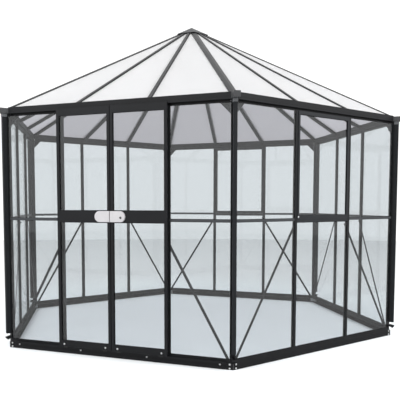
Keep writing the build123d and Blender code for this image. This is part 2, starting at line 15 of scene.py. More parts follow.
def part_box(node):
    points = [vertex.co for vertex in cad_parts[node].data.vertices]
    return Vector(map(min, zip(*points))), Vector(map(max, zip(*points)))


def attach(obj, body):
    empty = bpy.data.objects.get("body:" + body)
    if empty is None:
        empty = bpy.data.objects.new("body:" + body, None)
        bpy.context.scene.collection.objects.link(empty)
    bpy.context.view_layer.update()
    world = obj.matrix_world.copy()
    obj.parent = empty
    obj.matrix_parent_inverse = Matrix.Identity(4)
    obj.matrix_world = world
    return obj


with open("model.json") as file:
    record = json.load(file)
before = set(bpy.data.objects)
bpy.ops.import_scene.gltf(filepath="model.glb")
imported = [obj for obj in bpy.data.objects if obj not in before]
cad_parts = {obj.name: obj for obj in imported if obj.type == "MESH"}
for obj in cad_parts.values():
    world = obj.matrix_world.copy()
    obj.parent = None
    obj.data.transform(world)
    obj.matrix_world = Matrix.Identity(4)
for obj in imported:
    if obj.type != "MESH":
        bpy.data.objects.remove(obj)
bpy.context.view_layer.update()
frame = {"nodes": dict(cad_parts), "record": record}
nodes = frame["nodes"]
mm = 0.001

# %% [markdown]
# ## Colours and nodes
# Screens show sRGB, but shaders add up light, so they need linear values.
# One function turns the hex colour of a paint card into a linear one.
# A second one adds a shader node, sets its options and links its sockets, so a material reads like a recipe.

# %% Helpers for materials
def linear(code):
    """Linear RGBA of an sRGB hex code such as 3a3d40."""
    parts = [int(code[i:i + 2], 16) / 255 for i in (0, 2, 4)]
    return [c / 12.92 if c <= 0.04045 else ((c + 0.055) / 1.055) ** 2.4 for c in parts] + [1.0]


def add(tree, kind, sockets, **options):
    """Add a node, set its options, and give each named socket a value or a link."""
    made = tree.nodes.new(kind)
    for name, value in options.items():
        setattr(made, name, value)
    for name, value in sockets.items():
        if isinstance(value, bpy.types.NodeSocket):
            tree.links.new(value, made.inputs[name])
        else:
            made.inputs[name].default_value = value
    return made


def new_material(name):
    """Empty node material, its tree, and the Object coordinates that its patterns read."""
    made = bpy.data.materials.new(name)
    made.use_nodes = True
    made.node_tree.nodes.clear()
    place = made.node_tree.nodes.new("ShaderNodeTexCoord").outputs["Object"]
    return made, made.node_tree, place


print("white is", [round(c, 3) for c in linear("ffffff")])

# %% [markdown]
# ## Powder coat
# The profiles are extruded aluminium with a baked anthracite powder coat.
# The powder melts into a skin with a faint orange peel, so the sheen is broken and soft.
# A plain dark shader would look like card. Two noises break it up: a broad one shifts the colour and the gloss
# a little, and a fine one drives the bump.
# Real peel is about 1 mm across; it is drawn at 4 mm so that it still shows in a small render.
# The vent windows and the cap on the peak get a slightly paler coat than the frame around them. The paleness is
# painted light: it stands in for the stronger light that falls on them.
# The thin strips between the lower and the upper panes are paler still.
# A downpipe is in one piece with its corner post here, so its paler coat starts at a distance from the middle.

# %% Powder-coated aluminium
peel_size = 4 * mm
peel_depth = 0.3 * mm
peel_strength = 0.12
cloud_size = 250 * mm
satin_low, satin_high = 0.38, 0.5
frame_shine, post_shine = 0.22, 0.18
pipe_back = 1849.5 * mm


def powder_coat(name, dark, light, shine, pipe=None):
    """Satin powder coat between two near colours, with orange peel, and on the posts a third colour for the pipes."""
    made, tree, place = new_material(name)
    cloud = add(tree, "ShaderNodeTexNoise", {"Vector": place, "Scale": 1 / cloud_size, "Detail": 3.0})
    peel = add(tree, "ShaderNodeTexNoise", {"Vector": place, "Scale": 1 / peel_size, "Detail": 2.0})
    colour = add(tree, "ShaderNodeMix", {"Factor": cloud.outputs["Fac"], "A": linear(dark), "B": linear(light)},
                 data_type="RGBA")
    if pipe:
        level = add(tree, "ShaderNodeVectorMath", {0: place, 1: (1, 1, 0)}, operation="MULTIPLY")
        reach = add(tree, "ShaderNodeVectorMath", {0: level.outputs["Vector"]}, operation="LENGTH")
        outside = add(tree, "ShaderNodeMath", {0: reach.outputs["Value"], 1: pipe_back}, operation="GREATER_THAN")
        colour = add(tree, "ShaderNodeMix", {"Factor": outside.outputs["Value"], "A": colour.outputs["Result"],
                                             "B": linear(pipe)}, data_type="RGBA")
    rough = add(tree, "ShaderNodeMapRange", {"Value": cloud.outputs["Fac"], "To Min": satin_low,
                                             "To Max": satin_high})
    bump = add(tree, "ShaderNodeBump", {"Height": peel.outputs["Fac"], "Strength": peel_strength,
                                        "Distance": peel_depth})
    shader = add(tree, "ShaderNodeBsdfPrincipled", {
        "Base Color": colour.outputs["Result"], "Roughness": rough.outputs["Result"],
        "Normal": bump.outputs["Normal"], "Specular IOR Level": shine})
    add(tree, "ShaderNodeOutputMaterial", {"Surface": shader.outputs["BSDF"]})
    return made


anthracite_coat = powder_coat("anthracite_powder_coat", "141517", "1b1c1f", frame_shine)
# Painted light: a paler copy of the frame coat, standing in for the stronger light on the vents and the cap.
painted_light_coat = powder_coat("painted_light_powder_coat", "232528", "2a2c2f", frame_shine)
strip_coat = powder_coat("strip_powder_coat", "3a3c3f", "434548", frame_shine)
post_coat = powder_coat("post_powder_coat", "141517", "1b1c1f", post_shine, pipe="1d1f22")
print("made", anthracite_coat.name, painted_light_coat.name, strip_coat.name, post_coat.name)

# %% [markdown]
# ## Glass
# The panes are 3 mm toughened float glass: clear, with a trace of blue-grey, and a mirror at a flat angle.
# A shader that bends light would cost many bounces in a house with glass on all sides.
# A thin pane hardly moves what is behind it, so here light passes straight through with a faint tint.
# The mirror part grows as the view flattens: one minus the cosine, to the fifth power.
# Clean glass mirrors 4% head on; these panes show a little more, which veils the frame behind them.
# At a flat angle they mirror less than bare glass would, because the far side panes look clear too.

# %% Float glass
head_on_mirror, flat_mirror = 0.055, 0.4
mirror_power = 5.0
polish_low, polish_high = 0.01, 0.04


def float_glass(name, tint):
    """Clear flat glass that tints what is behind it and mirrors more at flat angles."""
    made, tree, place = new_material(name)
    facing = add(tree, "ShaderNodeLayerWeight", {"Blend": 0.5})
    rise = add(tree, "ShaderNodeMath", {0: facing.outputs["Facing"], 1: mirror_power}, operation="POWER")
    mirror = add(tree, "ShaderNodeMapRange", {"Value": rise.outputs["Value"], "To Min": head_on_mirror,
                                              "To Max": flat_mirror})
    cloud = add(tree, "ShaderNodeTexNoise", {"Vector": place, "Scale": 1 / cloud_size, "Detail": 2.0})
    rough = add(tree, "ShaderNodeMapRange", {"Value": cloud.outputs["Fac"], "To Min": polish_low,
                                             "To Max": polish_high})
    see = add(tree, "ShaderNodeBsdfTransparent", {"Color": linear(tint)})
    shine = add(tree, "ShaderNodeBsdfGlossy", {"Color": linear("ffffff"), "Roughness": rough.outputs["Result"]})
    mix = add(tree, "ShaderNodeMixShader", {0: mirror.outputs["Result"], 1: see.outputs["BSDF"],
                                            2: shine.outputs["BSDF"]})
    add(tree, "ShaderNodeOutputMaterial", {"Surface": mix.outputs["Shader"]})
    return made


clear_glass = float_glass("clear_float_glass", "f0f2f3")
print("made", clear_glass.name)

# %% [markdown]
# ## Twin-wall roof sheet
# The roof is not glass but polycarbonate: two thin skins with upright ribs between them, about every 6 mm.
# The cells scatter light, so the roof looks white from outside and hides most of what is behind it.
# From inside the sheet looks grey, because less light comes back from below than falls on it from the sky. That grey
# is painted shade: a pane's upper and lower faces share one material, so the sign of the normal picks the pale skin
# for the upper face and a grey painted shade for the lower one.
# Most of the light goes on, the rest is thrown back, and the ribs let a little of it straight through.
# The ribs run down the slope. Each roof face turns the pattern by its own angle, so they run down every face.
# They are drawn 12 mm apart, twice the real pitch, so that a close view can show them.

# %% Twin-wall polycarbonate
rib_pitch = 12 * mm
rib_depth = 0.4 * mm
rib_strength = 0.15
wave_pitch = pi / 10  # a Wave texture of scale 1 has a band at every tenth of pi
haze_size = 600 * mm
clear_low, clear_high = 0.04, 0.12
lower_pass, upper_pass = 0.7, 0.63
sheet_shine, sheet_rough = 0.05, 0.25


def twin_wall(name, turn):
    """Translucent ribbed sheet for the roof face that looks out at an angle."""
    made, tree, place = new_material(name)
    turned = add(tree, "ShaderNodeVectorRotate", {"Vector": place, "Angle": -turn}, rotation_type="Z_AXIS")
    ribs = add(tree, "ShaderNodeTexWave", {"Vector": turned.outputs["Vector"], "Scale": wave_pitch / rib_pitch},
               bands_direction="Y")
    cloud = add(tree, "ShaderNodeTexNoise", {"Vector": place, "Scale": 1 / haze_size, "Detail": 4.0,
                                             "Distortion": 0.8})
    side = add(tree, "ShaderNodeSeparateXYZ", {"Vector": tree.nodes.new("ShaderNodeNewGeometry").outputs["Normal"]})
    lit_top_face = add(tree, "ShaderNodeMath", {0: side.outputs["Z"], 1: 0.0}, operation="GREATER_THAN")
    outer = add(tree, "ShaderNodeMix", {"Factor": cloud.outputs["Fac"], "A": linear("e8e9e6"), "B": linear("f5f6f3")},
                data_type="RGBA")
    # Painted shade: the lower faces get the grey 5c5b60 in place of the pale skin.
    skin_with_painted_shade_below = add(tree, "ShaderNodeMix", {"Factor": lit_top_face.outputs["Value"], "A": linear("5c5b60"),
                                       "B": outer.outputs["Result"]}, data_type="RGBA")
    clear = add(tree, "ShaderNodeMapRange", {"Value": ribs.outputs["Fac"], "To Min": clear_low, "To Max": clear_high})
    bump = add(tree, "ShaderNodeBump", {"Height": ribs.outputs["Fac"], "Strength": rib_strength,
                                        "Distance": rib_depth})
    back = add(tree, "ShaderNodeBsdfDiffuse", {"Color": skin_with_painted_shade_below.outputs["Result"], "Normal": bump.outputs["Normal"]})
    through = add(tree, "ShaderNodeBsdfTranslucent", {"Color": linear("efedf0"), "Normal": bump.outputs["Normal"]})
    passed = add(tree, "ShaderNodeMapRange", {"Value": lit_top_face.outputs["Value"], "To Min": lower_pass,
                                              "To Max": upper_pass})
    haze = add(tree, "ShaderNodeMixShader", {0: passed.outputs["Result"], 1: back.outputs["BSDF"],
                                             2: through.outputs["BSDF"]})
    shine = add(tree, "ShaderNodeBsdfGlossy", {"Color": linear("ffffff"), "Roughness": sheet_rough})
    sheen = add(tree, "ShaderNodeMixShader", {0: sheet_shine, 1: haze.outputs["Shader"], 2: shine.outputs["BSDF"]})
    see = add(tree, "ShaderNodeBsdfTransparent", {"Color": linear("f4f4f6")})
    mix = add(tree, "ShaderNodeMixShader", {0: clear.outputs["Result"], 1: sheen.outputs["Shader"],
                                            2: see.outputs["BSDF"]})
    add(tree, "ShaderNodeOutputMaterial", {"Surface": mix.outputs["Shader"]})
    return made


walls = ("front", "front_right", "back_right", "back", "back_left", "front_left")
wall_turns = {wall: radians(60 * place - 90) for place, wall in enumerate(walls)}
roof_sheets = {wall: twin_wall(f"twin_wall_sheet_{wall}", turn) for wall, turn in wall_turns.items()}
print("made", len(roof_sheets), "roof sheets")

# %% [markdown]
# ## Plastics and zinc
# The pull plate is white moulded ABS, the rollers and shoes are black nylon, the gutter outlets grey PVC.
# A mould leaves a fine grain on them, and the colour drifts a little where the melt flowed.
# The real grain is about a tenth of a millimetre; it is drawn at 2 mm so that a close view can show it.
# The corner brackets inside the base are bare galvanised plate: bright zinc with a patchy spangle.
# A Voronoi pattern gives the spangle its flat crystals, each with its own gloss, which a noise would blur.

# %% Moulded plastics
grain_size = 2 * mm
grain_depth = 0.1 * mm
flow_size = 40 * mm
gloss_spread = 0.06


def moulded_plastic(name, dark, light, gloss, strength):
    """Moulded plastic with a fine spark-eroded grain, and a colour that drifts a little."""
    made, tree, place = new_material(name)
    grain = add(tree, "ShaderNodeTexNoise", {"Vector": place, "Scale": 1 / grain_size, "Detail": 3.0})
    flow = add(tree, "ShaderNodeTexNoise", {"Vector": place, "Scale": 1 / flow_size, "Detail": 2.0})
    colour = add(tree, "ShaderNodeMix", {"Factor": flow.outputs["Fac"], "A": linear(dark), "B": linear(light)},
                 data_type="RGBA")
    rough = add(tree, "ShaderNodeMapRange", {"Value": grain.outputs["Fac"], "To Min": gloss - gloss_spread,
                                             "To Max": gloss + gloss_spread})
    bump = add(tree, "ShaderNodeBump", {"Height": grain.outputs["Fac"], "Strength": strength,
                                        "Distance": grain_depth})
    shader = add(tree, "ShaderNodeBsdfPrincipled", {
        "Base Color": colour.outputs["Result"], "Roughness": rough.outputs["Result"],
        "Normal": bump.outputs["Normal"]})
    add(tree, "ShaderNodeOutputMaterial", {"Surface": shader.outputs["BSDF"]})
    return made


white_plastic = moulded_plastic("white_abs", "bab8ba", "c2c0c2", gloss=0.4, strength=0.1)
black_nylon = moulded_plastic("black_nylon", "111213", "191a1b", gloss=0.5, strength=0.2)
grey_plastic = moulded_plastic("grey_rainwater_pvc", "38393b", "3e3f41", gloss=0.45, strength=0.15)
print("made", white_plastic.name, black_nylon.name, grey_plastic.name)

# %% Galvanised plate
spangle_size = 9 * mm
bright_crystal, dull_crystal = 0.3, 0.55
zinc, tree, place = new_material("galvanised_steel")
spangle = add(tree, "ShaderNodeTexVoronoi", {"Vector": place, "Scale": 1 / spangle_size})
patch = add(tree, "ShaderNodeRGBToBW", {"Color": spangle.outputs["Color"]})
colour = add(tree, "ShaderNodeMix", {"Factor": patch.outputs["Val"], "A": linear("a9adb0"), "B": linear("d2d5d8")},
             data_type="RGBA")
rough = add(tree, "ShaderNodeMapRange", {"Value": patch.outputs["Val"], "To Min": bright_crystal,
                                         "To Max": dull_crystal})
shader = add(tree, "ShaderNodeBsdfPrincipled", {
    "Base Color": colour.outputs["Result"], "Roughness": rough.outputs["Result"], "Metallic": 1.0})
add(tree, "ShaderNodeOutputMaterial", {"Surface": shader.outputs["BSDF"]})
print("made", zinc.name)

# %% [markdown]
# ## Finish every CAD piece
# The imported record says which material slot each node takes, so most finishes follow from that.
# A few pieces that share a slot are named one by one: some don't look alike on the real house, and the vents and the
# cap get a coat with painted light.

# %% Give each node its finish
finishes = {
    "anthracite_frame": anthracite_coat,
    "clear_glass": clear_glass,
    "galvanised_plate": zinc,
    "white_plastic": white_plastic,
    "black_nylon": black_nylon,
}


def dress(piece, finish):
    """Make a finish the piece's only material."""
    piece.data.materials.clear()
    piece.data.materials.append(finish)


for part in frame["record"]["subparts"]:
    if part["material_slot"] in finishes:
        dress(nodes[part["node"]], finishes[part["material_slot"]])
for wall, sheet in roof_sheets.items():
    dress(nodes[f"{wall}_roof_panes"], sheet)
dress(nodes["corner_posts"], post_coat)
dress(nodes["pane_strips"], strip_coat)
# The vents and the cap get the paler coat, which is painted light.
for node in ("front_right_vent_sash", "back_vent_sash", "vent_transoms", "apex_cap"):
    dress(nodes[node], painted_light_coat)
dress(nodes["gutter_outlets"], grey_plastic)

# %% [markdown]
# ## Places on a wall
# The six walls are the same wall, turned by 60 degrees at a time.
# So each wall gets one matrix, and a piece is given as a place along the wall, a depth inwards and a height.
# Depth is zero on the outer face of the base, as in the CAD model, and a new piece is put in place by that matrix.
# A corner lies half a step, 30 degrees, further on. There a piece is given by its distance from the middle.
# Each finished piece rides on a CAD body, so it moves with a door where it belongs to one.

# %% Wall matrices and finished pieces
wall_distance = -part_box("base_rails")[0][1]
half_corner = radians(30)


def on_wall(wall):
    """Matrix from (along the wall, depth inwards, height) to the greenhouse."""
    turn = Matrix.Rotation(wall_turns[wall] + pi / 2, 4, "Z")
    return turn @ Matrix.Translation((0, -wall_distance, 0))


def on_corner(wall):
    """Matrix from (distance from the middle, sideways, height) to the corner at the end of a wall."""
    return Matrix.Rotation(wall_turns[wall] + half_corner, 4, "Z")


def finished(name, mesh, finish, body):
    """Turn a bmesh into a piece that has a finish and rides on a body."""
    bmesh.ops.recalc_face_normals(mesh, faces=mesh.faces)
    data = bpy.data.meshes.new(name)
    mesh.to_mesh(data)
    mesh.free()
    piece = bpy.data.objects.new(name, data)
    bpy.context.scene.collection.objects.link(piece)
    dress(piece, finish)
    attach(piece, body)
    print(name, "with", len(data.polygons), "faces on", body)


print("the door wall is", round(wall_distance, 4), "m from the middle")

# %% [markdown]
# ## Bolts
# Bright dome-headed bolts hold the base together at its corners, and the feet of the doors to their rails.
# A head is a round thing, so its outline is drawn once and spun about the bolt's axis.
# The small step at the start of the outline is the socket for the key, and the last one is the washer.
# Inside the house, braces and gussets are held by hexagon nuts on a washer with the bolt's end in the middle.
# A nut is a six-sided cone without a taper, with its edges chamfered.

# %% Dome head and hexagon nut to copy
# Outlines are pairs of radius and height off the face, in millimetres.
head_outline = ((0, 2.4), (1.9, 2.4), (2.0, 4.4), (3.4, 4.0), (4.7, 3.0), (5.4, 1.4),
                (7.0, 1.3), (7.2, 1.0), (7.2, 0), (0, 0))
washer_outline = ((0, 11.0), (2.6, 11.0), (3.0, 10.6), (3.0, 1.2), (7.0, 1.2), (7.2, 0.9), (7.2, 0), (0, 0))
washer_height = 1.2 * mm
nut_radius = 5.8 * mm
nut_height = 5.0 * mm
nut_chamfer = 0.4 * mm
spin_steps = 14
merge_distance = 0.01 * mm


def spun(outline):
    """Bmesh of an outline of (radius, height) in millimetres, spun about the wall's outward direction."""
    shape = bmesh.new()
    points = [shape.verts.new((radius * mm, -height * mm, 0)) for radius, height in outline]
    edges = [shape.edges.new(pair) for pair in zip(points, points[1:])]
    bmesh.ops.spin(shape, geom=points + edges, axis=(0, 1, 0), angle=2 * pi, steps=spin_steps, use_merge=True)
    bmesh.ops.remove_doubles(shape, verts=shape.verts, dist=merge_distance)
    bmesh.ops.recalc_face_normals(shape, faces=shape.faces)
    return shape


def as_mesh(name, shape):
    """Store a bmesh as mesh data that can be copied many times."""
    data = bpy.data.meshes.new(name)
    shape.to_mesh(data)
    shape.free()
    return data


dome_head = as_mesh("dome_head", spun(head_outline))
nut_shape = spun(washer_outline)
nut_middle = Matrix.Translation((0, -washer_height - nut_height / 2, 0)) @ Matrix.Rotation(pi / 2, 4, "X")
nut = bmesh.ops.create_cone(nut_shape, cap_ends=True, segments=6, radius1=nut_radius, radius2=nut_radius,
                            depth=nut_height, matrix=nut_middle)
nut_edges = {edge for vert in nut["verts"] for edge in vert.link_edges}
bmesh.ops.bevel(nut_shape, geom=list(nut_edges), offset=nut_chamfer, affect="EDGES", segments=1, profile=0.5,
                material=-1)
hexagon_nut = as_mesh("hexagon_nut", nut_shape)
print("dome head", len(dome_head.polygons), "faces, nut", len(hexagon_nut.polygons), "faces")

# %% [markdown]
# ## Bright zinc
# The bolts are steel with a bright zinc plate: a pale metal, a little blue.
# Its colour and roughness change over a few centimetres, as they do from one real bolt to the next.
# One broad noise gives both, because a single bolt is too small to show more.

# %% Zinc-plated steel
zinc_patch = 30 * mm
plate_low, plate_high = 0.25, 0.45
bright_zinc, tree, place = new_material("bright_zinc_plate")
patch = add(tree, "ShaderNodeTexNoise", {"Vector": place, "Scale": 1 / zinc_patch, "Detail": 2.0})
colour = add(tree, "ShaderNodeMix", {"Factor": patch.outputs["Fac"], "A": linear("d9dcdf"), "B": linear("f1f2f2")},
             data_type="RGBA")
rough = add(tree, "ShaderNodeMapRange", {"Value": patch.outputs["Fac"], "To Min": plate_low, "To Max": plate_high})
shader = add(tree, "ShaderNodeBsdfPrincipled", {
    "Base Color": colour.outputs["Result"], "Roughness": rough.outputs["Result"], "Metallic": 1.0})
add(tree, "ShaderNodeOutputMaterial", {"Surface": shader.outputs["BSDF"]})
print("made", bright_zinc.name)

# %% [markdown]
# ## Where the bolts sit
# The base has two bolts one above the other at each end of every side. They go into the plates inside the corners.
# The guide rail under the doors has four, each door's bottom rail has two, and each vent's sash has one.
# A bolt stands on the face that carries it, so each row of places comes with the depth of that face.
# Copies are joined into one mesh for each row, which keeps the list of pieces short.

# %% Base, guide, door and vent bolts
end_place = 904 * mm
base_bolt_heights = (10 * mm, 38 * mm)
guide_bolt_places = (276 * mm, 834 * mm)
guide_bolt_height = 34.5 * mm
guide_face = -2.5 * mm
rail_bolt_places = (50 * mm, 404 * mm)
rail_bolt_height = 77 * mm
leaf_face = -27 * mm
sash_bolt = (-287.5 * mm, -2 * mm, 1043 * mm)
vent_walls = ("front_right", "back")
doors = {"left_door": -1, "right_door": 1}


def stamped(mesh, data, place):
    """Copy mesh data into a bmesh and put the copy in its place."""
    before = len(mesh.verts)
    mesh.from_mesh(data)
    mesh.verts.ensure_lookup_table()
    bmesh.ops.transform(mesh, matrix=place, verts=mesh.verts[before:])


base_bolts = bmesh.new()
for wall in walls:
    for along in (-end_place, end_place):
        for height in base_bolt_heights:
            stamped(base_bolts, dome_head, on_wall(wall) @ Matrix.Translation((along, 0, height)))
finished("base_bolts", base_bolts, bright_zinc, "frame")

guide_bolts = bmesh.new()
for along in guide_bolt_places:
    for side in (-1, 1):
        spot = Matrix.Translation((side * along, guide_face, guide_bolt_height))
        stamped(guide_bolts, dome_head, on_wall("front") @ spot)
finished("guide_bolts", guide_bolts, bright_zinc, "frame")

vent_bolts = bmesh.new()
for wall in vent_walls:
    stamped(vent_bolts, dome_head, on_wall(wall) @ Matrix.Translation(sash_bolt))
finished("vent_bolts", vent_bolts, bright_zinc, "frame")

for door, side in doors.items():
    rail_bolts = bmesh.new()
    for along in rail_bolt_places:
        spot = Matrix.Translation((side * along, leaf_face, rail_bolt_height))
        stamped(rail_bolts, dome_head, on_wall("front") @ spot)
    finished(f"{door}_rail_bolts", rail_bolts, bright_zinc, door)

# %% [markdown]
# ## Nuts inside
# A brace is a flat strip that runs from the foot of a corner post up to the next upright, with a bolt near each end.
# A gusset is a three-cornered plate under the eaves with a bolt near each corner.
# Both lie on the inside of the frame, so their nuts are turned round to face into the house.
# They are as dark as the frame, because no bright point shows inside the house.

# %% Brace and gusset nuts
inner_face = 27 * mm
brace_foot = Vector((884 * mm, 66 * mm))
brace_head = Vector((297 * mm, 985 * mm))
door_brace_head = Vector((435 * mm, 865 * mm))
end_margin = 11 * mm
gusset_edge = 893 * mm
eaves_low = 1818 * mm
gusset_corners = ((13 * mm, 13 * mm), (50 * mm, 12 * mm), (12 * mm, 50 * mm))
inwards = Matrix.Rotation(pi, 4, "Z")


def inner_nut(mesh, wall, along, height):
    """Nut on the inner face of a brace or gusset."""
    stamped(mesh, hexagon_nut, on_wall(wall) @ Matrix.Translation((along, inner_face, height)) @ inwards)


brace_nuts = bmesh.new()
gusset_nuts = bmesh.new()
for wall in walls:
    head = door_brace_head if wall == "front" else brace_head
    run = (head - brace_foot).normalized()
    for side in (-1, 1):
        for end in (brace_foot + run * end_margin, head - run * end_margin):
            inner_nut(brace_nuts, wall, side * end.x, end.y)
        for along, drop in gusset_corners:
            inner_nut(gusset_nuts, wall, side * (gusset_edge - along), eaves_low - drop)
finished("brace_nuts", brace_nuts, anthracite_coat, "frame")
finished("gusset_nuts", gusset_nuts, anthracite_coat, "frame")

# %% [markdown]
# ## Rubber
# Black synthetic rubber seals every pane: matt, a little grey where it weathers, and never quite smooth.
# One noise gives both the grey patches and the uneven skin, since they come from the same wear.

# %% Glazing rubber
rubber_patch = 15 * mm
rubber_depth = 0.2 * mm
rubber, tree, place = new_material("glazing_rubber")
patch = add(tree, "ShaderNodeTexNoise", {"Vector": place, "Scale": 1 / rubber_patch, "Detail": 4.0})
colour = add(tree, "ShaderNodeMix", {"Factor": patch.outputs["Fac"], "A": linear("050606"), "B": linear("0e0f11")},
             data_type="RGBA")
bump = add(tree, "ShaderNodeBump", {"Height": patch.outputs["Fac"], "Strength": 0.2, "Distance": rubber_depth})
shader = add(tree, "ShaderNodeBsdfPrincipled", {
    "Base Color": colour.outputs["Result"], "Roughness": 0.75, "Normal": bump.outputs["Normal"],
    "Specular IOR Level": 0.15})
add(tree, "ShaderNodeOutputMaterial", {"Surface": shader.outputs["BSDF"]})
print("made", rubber.name)

# %% [markdown]
# ## Glazing seals
# Where a pane meets its bars, a rubber bead closes the joint. From outside it is the dark line beside each bar.
# A bead goes round its opening like a picture frame. Four bars would leave seams at the corners, so it starts
# as one rectangle: inset it, throw away the middle, and extrude what is left off the glass.
# The inset needs use_boundary, because all four edges of a lone rectangle are on its boundary.
# A bevel then rounds the edges that show.

# %% One bead round an opening
bead_width = 2.5 * mm
bead_round = 0.6 * mm


def bead(mesh, wall, opening, glass_depth, rise):
    """Rubber frame on a pane: opening is (left, right, low, high), and a negative rise stands outwards."""
    left, right, low, high = opening
    middle = Matrix.Translation(((left + right) / 2, glass_depth, (low + high) / 2))
    upright = middle @ Matrix.Rotation(pi / 2, 4, "X") @ Matrix.Diagonal((right - left, high - low, 1, 1))
    sheet = bmesh.ops.create_grid(mesh, x_segments=1, y_segments=1, size=0.5, matrix=on_wall(wall) @ upright)
    pane = sheet["verts"][0].link_faces[0]
    ring = bmesh.ops.inset_region(mesh, faces=[pane], thickness=bead_width, use_even_offset=True,
                                  use_boundary=True)["faces"]
    bmesh.ops.delete(mesh, geom=[pane], context="FACES_ONLY")
    lifted = bmesh.ops.extrude_face_region(mesh, geom=ring, use_keep_orig=True)["geom"]
    front = [part for part in lifted if isinstance(part, bmesh.types.BMVert)]
    raised = set(front)
    rims = [part for part in lifted if isinstance(part, bmesh.types.BMEdge) and raised.issuperset(part.verts)]
    shift = on_wall(wall).to_3x3() @ Vector((0, rise, 0))
    bmesh.ops.translate(mesh, verts=front, vec=shift)
    loops = [edge for edge in rims if any(len(raised.intersection(face.verts)) == 2 for face in edge.link_faces)]
    bmesh.ops.bevel(mesh, geom=loops, offset=bead_round, affect="EDGES", segments=2, profile=0.5, material=-1)


print("bead of", round(bead_width / mm, 1), "mm")

# %% [markdown]
# ## Beads on the walls, vents and doors
# Each wall has three bays with a lower and an upper pane. The door wall has a sidelight on each side of the doors.
# A vent window takes the place of the upper middle pane, and its own pane sits in the sash.
# The vents' and doors' panes have a bead on both sides, because a leaf shows both when it slides open.

# %% Wall beads
post_side = 906 * mm
bar_side = 323 * mm
bay_half = 297 * mm
jamb_side = 456 * mm
sill_top = 72 * mm
strip_low, strip_high = 1015 * mm, 1033 * mm
transom_low = 1003 * mm
wall_glass_depth = 5 * mm
wall_bead_rise = -2 * mm

wall_beads = bmesh.new()
for wall in walls:
    inner = jamb_side if wall == "front" else bar_side
    for low, high in ((sill_top, strip_low), (strip_high, eaves_low)):
        bead(wall_beads, wall, (inner, post_side, low, high), wall_glass_depth, wall_bead_rise)
        bead(wall_beads, wall, (-post_side, -inner, low, high), wall_glass_depth, wall_bead_rise)
    if wall in vent_walls:
        bead(wall_beads, wall, (-bay_half, bay_half, sill_top, transom_low), wall_glass_depth, wall_bead_rise)
    elif wall != "front":
        bead(wall_beads, wall, (-bay_half, bay_half, sill_top, strip_low), wall_glass_depth, wall_bead_rise)
        bead(wall_beads, wall, (-bay_half, bay_half, strip_high, eaves_low), wall_glass_depth, wall_bead_rise)
finished("wall_beads", wall_beads, rubber, "frame")

# %% Vent and door beads
sash_opening = (-278.5 * mm, 278.5 * mm, 1055.5 * mm, 1791.5 * mm)
sash_glass_front, sash_glass_back = 6 * mm, 9 * mm
sash_bead_rise = 3 * mm
vent_beads = bmesh.new()
for wall in vent_walls:
    bead(vent_beads, wall, sash_opening, sash_glass_front, -sash_bead_rise)
    bead(vent_beads, wall, sash_opening, sash_glass_back, sash_bead_rise)
finished("vent_beads", vent_beads, rubber, "frame")

leaf_glass_front, leaf_glass_back = -18.5 * mm, -15.5 * mm
leaf_sides = (24.5 * mm, 426 * mm)
leaf_panes = ((105 * mm, 1003.5 * mm), (1091.5 * mm, 1790 * mm))
leaf_bead_rise = 2.5 * mm
for door, side in doors.items():
    door_beads = bmesh.new()
    left, right = sorted(side * place for place in leaf_sides)
    for low, high in leaf_panes:
        bead(door_beads, "front", (left, right, low, high), leaf_glass_front, -leaf_bead_rise)
        bead(door_beads, "front", (left, right, low, high), leaf_glass_back, leaf_bead_rise)
    finished(f"{door}_beads", door_beads, rubber, door)

# %% [markdown]
# ## Strips with rounded edges
# The seals that follow are long strips: a cube stretched to size, with its long edges rounded.
# A curve with a bevel could make them too, but two corners of a box are easier to take from the CAD sizes.
# The bevel is made before the strip is put in its place, so it is the same on every wall and slope.

# %% One rounded strip
length_slack = 0.01 * mm


def strip(mesh, place, low, high, rounding):
    """Bar between two corners of a box, with its edges along the longest side rounded."""
    size = Vector(high) - Vector(low)
    shape = bmesh.new()
    middle = Matrix.Translation((Vector(high) + Vector(low)) / 2)
    bmesh.ops.create_cube(shape, size=1.0, matrix=middle @ Matrix.Diagonal((*size, 1)))
    longest = max(size)
    long_edges = [edge for edge in shape.edges if abs(edge.calc_length() - longest) < length_slack]
    bmesh.ops.bevel(shape, geom=long_edges, offset=rounding, affect="EDGES", segments=2, profile=0.5, material=-1)
    data = as_mesh("strip", shape)
    stamped(mesh, data, place)
    bpy.data.meshes.remove(data)


print("strips have their long edges rounded")

# %% [markdown]
# ## Brush pile
# The leaves hang in front of the wall, so brushes on the jambs close the gap behind them.
# A brush is a dense row of polypropylene fibres: dull and dark, with lighter tips.
# Single hairs would take thousands of faces, so a noise that is stretched along the fibres stands for them.
# Real fibres are about 0.2 mm thick; they are drawn at 1.5 mm, and they run out from the jamb.

# %% Polypropylene brush
fibre_size = 1.5 * mm
fibre_depth = 0.6 * mm
fibre_stretch = (1, 0.1, 1)
brush_pile, tree, place = new_material("polypropylene_brush_pile")
fibres = add(tree, "ShaderNodeMapping", {"Vector": place, "Scale": fibre_stretch})
tufts = add(tree, "ShaderNodeTexNoise", {"Vector": fibres.outputs["Vector"], "Scale": 1 / fibre_size, "Detail": 2.0})
colour = add(tree, "ShaderNodeMix", {"Factor": tufts.outputs["Fac"], "A": linear("111214"), "B": linear("3a3c40")},
             data_type="RGBA")
bump = add(tree, "ShaderNodeBump", {"Height": tufts.outputs["Fac"], "Strength": 0.6, "Distance": fibre_depth})
shader = add(tree, "ShaderNodeBsdfPrincipled", {
    "Base Color": colour.outputs["Result"], "Roughness": 0.95, "Normal": bump.outputs["Normal"],
    "Sheen Weight": 0.2, "Specular IOR Level": 0.2})
add(tree, "ShaderNodeOutputMaterial", {"Surface": shader.outputs["BSDF"]})
print("made", brush_pile.name)

# %% [markdown]
# ## Seals round the doors
# Each brush stands in a thin backing on its jamb, and stops just short of the leaf, which slides past it.
# Where the leaves meet, a rubber strip on the left one fills the joint and moves with it.

